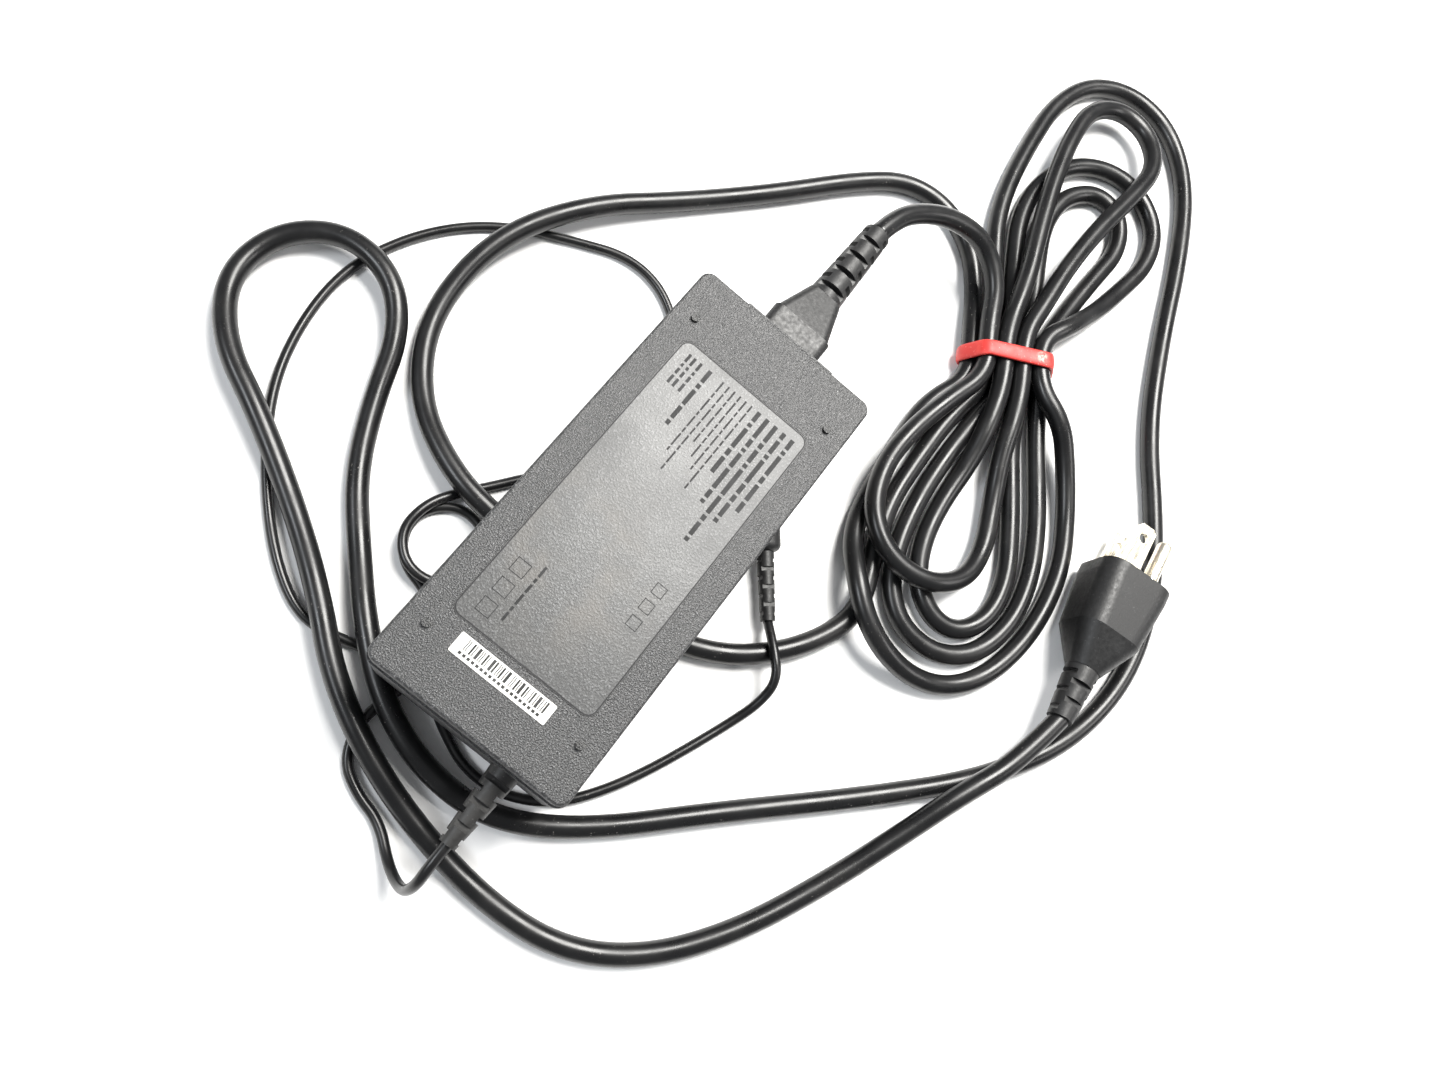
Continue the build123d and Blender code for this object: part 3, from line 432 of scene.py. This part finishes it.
# ---------------------------------------------------------------- materials
class Finish:
    """A node material with helpers that add texture in object space."""

    def __init__(self, name, color, roughness, metallic=0.0, specular=0.5, coat=0.0, coat_roughness=0.1):
        self.material = bpy.data.materials.new(name)
        self.material.use_nodes = True
        self.tree = self.material.node_tree
        self.shader = self.tree.nodes["Principled BSDF"]
        self.shader.inputs["Base Color"].default_value = (*color, 1.0)
        self.shader.inputs["Roughness"].default_value = roughness
        self.shader.inputs["Metallic"].default_value = metallic
        self.shader.inputs["Specular IOR Level"].default_value = specular
        self.shader.inputs["Coat Weight"].default_value = coat
        self.shader.inputs["Coat Roughness"].default_value = coat_roughness
        self.place = self.tree.nodes.new("ShaderNodeTexCoord")
        self.last_bump = None

    def link(self, start, end):
        self.tree.links.new(start, end)

    def noise(self, scale, detail=3.0, stretch=(1, 1, 1), roughness=0.55):
        spread = self.tree.nodes.new("ShaderNodeMapping")
        spread.inputs["Scale"].default_value = stretch
        texture = self.tree.nodes.new("ShaderNodeTexNoise")
        texture.inputs["Scale"].default_value = scale
        texture.inputs["Detail"].default_value = detail
        texture.inputs["Roughness"].default_value = roughness
        self.link(self.place.outputs["Object"], spread.inputs["Vector"])
        self.link(spread.outputs["Vector"], texture.inputs["Vector"])
        return texture.outputs["Fac"]

    def cells(self, scale):
        texture = self.tree.nodes.new("ShaderNodeTexVoronoi")
        texture.inputs["Scale"].default_value = scale
        self.link(self.place.outputs["Object"], texture.inputs["Vector"])
        return texture.outputs["Distance"]

    def waves(self, scale, direction, distortion=0.0):
        texture = self.tree.nodes.new("ShaderNodeTexWave")
        texture.wave_type = "BANDS"
        texture.bands_direction = direction
        texture.inputs["Scale"].default_value = scale
        texture.inputs["Distortion"].default_value = distortion
        self.link(self.place.outputs["Object"], texture.inputs["Vector"])
        return texture.outputs["Fac"]

    def ramp(self, value, stops):
        ramp = self.tree.nodes.new("ShaderNodeValToRGB")
        ramp.color_ramp.elements.remove(ramp.color_ramp.elements[1])
        first = ramp.color_ramp.elements[0]
        first.position, first.color = stops[0][0], (*stops[0][1], 1.0)
        for position, color in stops[1:]:
            element = ramp.color_ramp.elements.new(position)
            element.color = (*color, 1.0)
        self.link(value, ramp.inputs["Fac"])
        return ramp.outputs["Color"]

    def mask(self, value, start, end):
        reach = self.tree.nodes.new("ShaderNodeMapRange")
        reach.interpolation_type = "SMOOTHSTEP"
        reach.inputs["From Min"].default_value = start
        reach.inputs["From Max"].default_value = end
        self.link(value, reach.inputs["Value"])
        return reach.outputs["Result"]

    def near(self, x, y, z, inner, outer):
        """1 close to a point in mm and 0 beyond outer mm."""
        away = self.tree.nodes.new("ShaderNodeVectorMath")
        away.operation = "DISTANCE"
        away.inputs[1].default_value = (x * MM, y * MM, z * MM)
        self.link(self.place.outputs["Object"], away.inputs[0])
        return self.mask(away.outputs["Value"], outer * MM, inner * MM)

    def times(self, first, second):
        product = self.tree.nodes.new("ShaderNodeMath")
        product.operation = "MULTIPLY"
        self.link(first, product.inputs[0])
        if isinstance(second, float):
            product.inputs[1].default_value = second
        else:
            self.link(second, product.inputs[1])
        return product.outputs["Value"]

    def paint(self, factor, color):
        """Mixes a colour over what is there, where factor is 1."""
        mix = self.tree.nodes.new("ShaderNodeMix")
        mix.data_type = "RGBA"
        sockets = [s for s in mix.inputs if s.type == "RGBA"]
        current = self.shader.inputs["Base Color"]
        if current.is_linked:
            self.link(current.links[0].from_socket, sockets[0])
        else:
            sockets[0].default_value = current.default_value[:]
        sockets[1].default_value = (*color, 1.0)
        self.link(factor, mix.inputs[0])
        result = [s for s in mix.outputs if s.type == "RGBA"][0]
        self.link(result, current)
        return self

    def rough(self, value, smooth_end, rough_end):
        reach = self.tree.nodes.new("ShaderNodeMapRange")
        reach.inputs["From Min"].default_value = 0.3
        reach.inputs["From Max"].default_value = 0.7
        reach.inputs["To Min"].default_value = smooth_end
        reach.inputs["To Max"].default_value = rough_end
        self.link(value, reach.inputs["Value"])
        self.link(reach.outputs["Result"], self.shader.inputs["Roughness"])
        return self

    def bump(self, value, strength, depth_mm):
        bump = self.tree.nodes.new("ShaderNodeBump")
        bump.inputs["Strength"].default_value = strength
        bump.inputs["Distance"].default_value = depth_mm * MM
        self.link(value, bump.inputs["Height"])
        if self.last_bump is not None:
            self.link(self.last_bump, bump.inputs["Normal"])
        self.last_bump = bump.outputs["Normal"]
        self.link(self.last_bump, self.shader.inputs["Normal"])
        return self


def casing_plastic():
    finish = Finish("casing_plastic", (0.02, 0.02, 0.022), 0.5, specular=0.76)
    grain = finish.noise(2300, 2.0)
    # The grain is the plastic's own speckle, but its brightest specks are a painted glint: reflected light
    # painted into the base colour.
    dark, plain, painted_glint = (0.004, 0.004, 0.0042), (0.013, 0.013, 0.0138), (0.2, 0.2, 0.205)
    shade = finish.ramp(grain, [(0.32, dark), (0.52, plain), (0.63, (0.034, 0.035, 0.037)), (0.74, painted_glint)])
    finish.link(shade, finish.shader.inputs["Base Color"])
    finish.paint(finish.mask(finish.noise(28, 3.0), 0.62, 0.82), (0.024, 0.024, 0.025))
    # Painted shade: each pip and a thin ring around it are darkened to stand in for the shadow at its sides.
    for x in (-PIP_X, PIP_X):
        for y in (-PIP_Y, PIP_Y):
            finish.paint(finish.near(x, y, PIP_TOP, 1.2, 1.45), (0.004, 0.004, 0.004))
    finish.rough(finish.noise(2100, 2.0), 0.34, 0.54)
    finish.bump(grain, 1.0, 0.28)
    return finish.material


def label_film():
    finish = Finish("label_film", (0.02, 0.0205, 0.0212), 0.4, specular=0.62)
    finish.paint(finish.mask(finish.noise(2000, 2.0), 0.5, 0.75), (0.085, 0.086, 0.088))
    warm = finish.times(finish.near(-18, 6, 15.2, 6, 30), finish.mask(finish.noise(60, 3.0), 0.4, 0.7))
    finish.paint(warm, (0.065, 0.057, 0.048))
    finish.paint(finish.mask(finish.noise(22, 4.0), 0.55, 0.72), (0.036, 0.037, 0.039))
    finish.rough(finish.noise(35, 4.0), 0.37, 0.47)
    finish.bump(finish.noise(2000, 2.0), 0.6, 0.1)
    return finish.material


def print_ink(name, color, worn):
    finish = Finish(name, color, 0.6, specular=0.3)
    finish.paint(finish.mask(finish.noise(160, 4.0), 0.48, 0.66), worn)
    finish.paint(finish.mask(finish.noise(1400, 2.0), 0.55, 0.7), worn)
    finish.bump(finish.noise(900, 2.0), 0.2, 0.03)
    return finish.material


def paper_label():
    finish = Finish("paper_label", (0.82, 0.81, 0.77), 0.55)
    finish.paint(finish.mask(finish.noise(240, 5.0), 0.52, 0.75), (0.68, 0.66, 0.61))
    finish.paint(finish.mask(finish.noise(1500, 2.0), 0.62, 0.72), (0.5, 0.49, 0.46))
    finish.bump(finish.noise(1800, 3.0), 0.2, 0.03)
    return finish.material


def cord_vinyl():
    finish = Finish("cord_vinyl", (0.006, 0.006, 0.0064), 0.32, specular=0.36, coat=0.06, coat_roughness=0.18)
    finish.paint(finish.mask(finish.noise(55, 4.0), 0.5, 0.78), (0.014, 0.0135, 0.0135))
    dust = finish.mask(finish.noise(1700, 2.0), 0.69, 0.75)
    finish.paint(finish.times(dust, finish.mask(finish.noise(70, 2.0), 0.45, 0.62)), (0.2, 0.19, 0.18))
    finish.rough(finish.noise(120, 4.0), 0.24, 0.4)
    finish.bump(finish.noise(75, 2.0), 0.2, 0.4)
    finish.bump(finish.noise(1300, 2.0), 0.12, 0.05)
    return finish.material


def moulded_vinyl(name, color):
    finish = Finish(name, color, 0.42, specular=0.5)
    finish.paint(finish.mask(finish.noise(90, 4.0), 0.5, 0.75), tuple(c * 1.9 for c in color))
    finish.paint(finish.mask(finish.noise(1500, 2.0), 0.66, 0.74), tuple(c * 4 + 0.01 for c in color))
    finish.rough(finish.noise(900, 3.0), 0.4, 0.58)
    finish.bump(finish.noise(1700, 2.0), 0.35, 0.08)
    finish.bump(finish.noise(160, 2.0), 0.15, 0.2)
    return finish.material


def tie_rubber():
    finish = Finish("tie_rubber", (0.5, 0.03, 0.025), 0.46, specular=0.45)
    finish.shader.inputs["Subsurface Weight"].default_value = 0.12
    finish.shader.inputs["Subsurface Radius"].default_value = (0.0018, 0.0006, 0.0004)
    finish.paint(finish.mask(finish.noise(260, 4.0), 0.45, 0.75), (0.6, 0.055, 0.042))
    finish.paint(finish.mask(finish.noise(1600, 2.0), 0.66, 0.75), (0.66, 0.2, 0.17))
    spot = finish.near(TIE_X + ACROSS[0] * 7.5, TIE_Y + ACROSS[1] * 7.5, -11.4, 0.9, 2.4)
    finish.paint(finish.times(spot, finish.mask(finish.noise(900, 2.0), 0.38, 0.6)), (0.72, 0.36, 0.31))
    finish.rough(finish.noise(180, 3.0), 0.38, 0.6)
    finish.bump(finish.noise(1200, 2.0), 0.3, 0.07)
    return finish.material


def metal(name, color, roughness, grain=900, worn=None, direction=(1, 1, 1)):
    finish = Finish(name, color, roughness, metallic=1.0)
    finish.paint(finish.mask(finish.noise(220, 4.0), 0.5, 0.8), worn or tuple(c * 0.7 for c in color))
    finish.rough(finish.noise(grain, 3.0, direction), roughness * 0.7, roughness * 1.5)
    finish.bump(finish.noise(grain, 2.0, direction), 0.25, 0.04)
    return finish.material


def coated(name, color, spot, roughness, coat=0.0, grain=800.0):
    finish = Finish(name, color, roughness, coat=coat)
    finish.paint(finish.mask(finish.noise(180, 4.0), 0.45, 0.75), spot)
    finish.rough(finish.noise(grain, 3.0), roughness * 0.75, min(roughness * 1.4, 0.95))
    finish.bump(finish.noise(grain, 2.0), 0.3, 0.06)
    return finish.material


def board_laminate():
    finish = Finish("board_laminate", (0.4, 0.3, 0.12), 0.42, coat=0.3, coat_roughness=0.25)
    finish.paint(finish.mask(finish.cells(190), 0.28, 0.34), (0.2, 0.26, 0.09))
    finish.paint(finish.mask(finish.noise(420, 3.0), 0.58, 0.62), (0.56, 0.52, 0.42))
    finish.rough(finish.noise(300, 3.0), 0.32, 0.55)
    finish.bump(finish.cells(190), 0.3, 0.1)
    return finish.material


def copper_wire():
    finish = Finish("copper_wire", (0.6, 0.24, 0.1), 0.3, metallic=0.85, coat=0.4)
    turns = finish.waves(320, "Z", 1.2)
    finish.paint(finish.mask(turns, 0.05, 0.4), (0.78, 0.36, 0.15))
    finish.rough(turns, 0.45, 0.26)
    finish.bump(turns, 0.8, 0.35)
    return finish.material


def can_sleeve():
    finish = Finish("can_sleeve", (0.02, 0.03, 0.085), 0.28, coat=0.5)
    finish.paint(finish.mask(finish.waves(45, "X", 3.0), 0.86, 0.93), (0.5, 0.52, 0.55))
    finish.rough(finish.noise(240, 3.0), 0.22, 0.4)
    finish.bump(finish.noise(500, 3.0), 0.2, 0.08)
    return finish.material


def winding_tape():
    finish = Finish("winding_tape", (0.72, 0.56, 0.1), 0.3, coat=0.4)
    layers = finish.waves(260, "Y", 0.4)
    finish.paint(finish.mask(layers, 0.8, 0.95), (0.5, 0.36, 0.06))
    finish.rough(finish.noise(400, 3.0), 0.24, 0.42)
    finish.bump(layers, 0.3, 0.08)
    return finish.material


FINISHES = {
    "casing_plastic": casing_plastic(),
    "label_film": label_film(),
    "paper_label": paper_label(),
    "inlet_plastic": moulded_vinyl("inlet_plastic", (0.018, 0.018, 0.019)),
    "cord_vinyl": cord_vinyl(),
    "moulded_vinyl": moulded_vinyl("moulded_vinyl", (0.008, 0.008, 0.0083)),
    "grey_vinyl": moulded_vinyl("grey_vinyl", (0.015, 0.0145, 0.014)),
    "tie_rubber": tie_rubber(),
    "pin_brass": metal("pin_brass", (0.72, 0.53, 0.26), 0.28),
    "blade_metal": metal(
        "blade_metal", (0.86, 0.8, 0.66), 0.27, worn=(0.72, 0.62, 0.42), direction=(0.2, 1, 1)),
    "barrel_metal": metal("barrel_metal", (0.74, 0.74, 0.73), 0.18),
    "tip_insulator": moulded_vinyl("tip_insulator", (0.02, 0.02, 0.02)),
    "board_laminate": board_laminate(),
    "sheet_insulator": coated(
        "sheet_insulator", (0.03, 0.03, 0.033), (0.05, 0.05, 0.052), 0.25, coat=0.3),
    "wire_red": coated("wire_red", (0.4, 0.02, 0.015), (0.5, 0.05, 0.035), 0.34, coat=0.3),
    "wire_black": coated("wire_black", (0.02, 0.02, 0.02), (0.04, 0.04, 0.04), 0.34, coat=0.3),
    "fuse_ceramic": coated("fuse_ceramic", (0.78, 0.75, 0.68), (0.66, 0.6, 0.5), 0.3, coat=0.4),
    "film_yellow": coated("film_yellow", (0.74, 0.5, 0.05), (0.6, 0.38, 0.04), 0.35, coat=0.2),
    "disc_blue": coated("disc_blue", (0.03, 0.13, 0.38), (0.05, 0.2, 0.5), 0.28, coat=0.4),
    "ferrite": coated("ferrite", (0.05, 0.05, 0.055), (0.09, 0.09, 0.095), 0.62, grain=1500.0),
    "choke_green": coated("choke_green", (0.04, 0.17, 0.08), (0.06, 0.24, 0.12), 0.4),
    "copper_wire": copper_wire(),
    "epoxy_black": coated("epoxy_black", (0.02, 0.02, 0.021), (0.045, 0.045, 0.046), 0.5, grain=1600.0),
    "can_sleeve": can_sleeve(),
    "heatsink_alloy": metal("heatsink_alloy", (0.66, 0.66, 0.67), 0.34, direction=(0.15, 1, 1)),
    "screw_steel": metal("screw_steel", (0.56, 0.56, 0.57), 0.3),
    "bobbin_plastic": coated("bobbin_plastic", (0.05, 0.045, 0.04), (0.08, 0.07, 0.06), 0.5),
    "winding_tape": winding_tape(),
    "silicone_pad": coated("silicone_pad", (0.4, 0.46, 0.52), (0.48, 0.54, 0.6), 0.7, grain=1200.0),
}


def dress(piece, slot_name):
    material = FINISHES[slot_name]
    if piece.material_slots:
        for place in piece.material_slots:
            place.link = "OBJECT"
            place.material = material
    else:
        piece.data.materials.append(material)


for part in frame["record"]["subparts"]:
    dress(nodes[part["node"]], part["material_slot"])
for piece, slot_name in (
    (lead, "cord_vinyl"), (main_cord, "cord_vinyl"), (dc_cord, "cord_vinyl"), (band, "tie_rubber"),
):
    dress(piece, slot_name)
label_print.data.materials.append(print_ink("ink_grey", (0.007, 0.007, 0.0075), (0.018, 0.018, 0.019)))
label_rim.data.materials.append(print_ink("ink_dark", (0.012, 0.012, 0.013), (0.02, 0.02, 0.022)))
barcode_print.data.materials.append(print_ink("ink_black", (0.02, 0.02, 0.02), (0.05, 0.05, 0.05)))


# ---------------------------------------------------------------- floor, world and lights
def floor_material():
    finish = Finish("floor_white", (0.86, 0.86, 0.86), 0.75, specular=0.2)
    finish.paint(finish.mask(finish.noise(6, 3.0), 0.4, 0.7), (0.89, 0.89, 0.885))
    finish.bump(finish.noise(350, 3.0), 0.08, 0.1)
    return finish.material


def add_floor():
    shape = bmesh.new()
    bmesh.ops.create_grid(shape, x_segments=2, y_segments=2, size=3.0)
    floor = finished_mesh("floor", shape, smooth=False)
    floor.location = (0.0, 0.0, (FLOOR_Z - 0.02) * MM)
    floor.data.materials.append(floor_material())


def add_light(name, place, target, size, power, color=(1, 1, 1)):
    data = bpy.data.lights.new(name, "AREA")
    data.shape = "RECTANGLE"
    data.size, data.size_y = size
    data.energy = power
    data.color = color
    light = bpy.data.objects.new(name, data)
    bpy.context.scene.collection.objects.link(light)
    light.location = place
    toward = Vector(target) - Vector(place)
    light.rotation_euler = toward.to_track_quat("-Z", "Y").to_euler()


def add_world():
    world = bpy.data.worlds.new("studio")
    bpy.context.scene.world = world
    world.use_nodes = True
    background = world.node_tree.nodes["Background"]
    background.inputs["Color"].default_value = (0.95, 0.97, 1.0, 1.0)
    background.inputs["Strength"].default_value = 0.34


add_floor()
add_world()
add_light("overhead", (0.57, -0.05, 0.95), (0.05, -0.02, 0.0), (0.42, 0.6), 30.0, (1.0, 0.985, 0.95))
add_light("window", (-0.55, 0.75, 0.95), (0.05, 0.0, 0.0), (0.5, 0.3), 8.0, (0.92, 0.96, 1.0))
add_light("fill", (0.5, -0.95, 0.8), (0.08, -0.04, 0.0), (0.5, 0.3), 4.0, (1.0, 0.98, 0.96))
bpy.context.scene.view_settings.view_transform = "Standard"
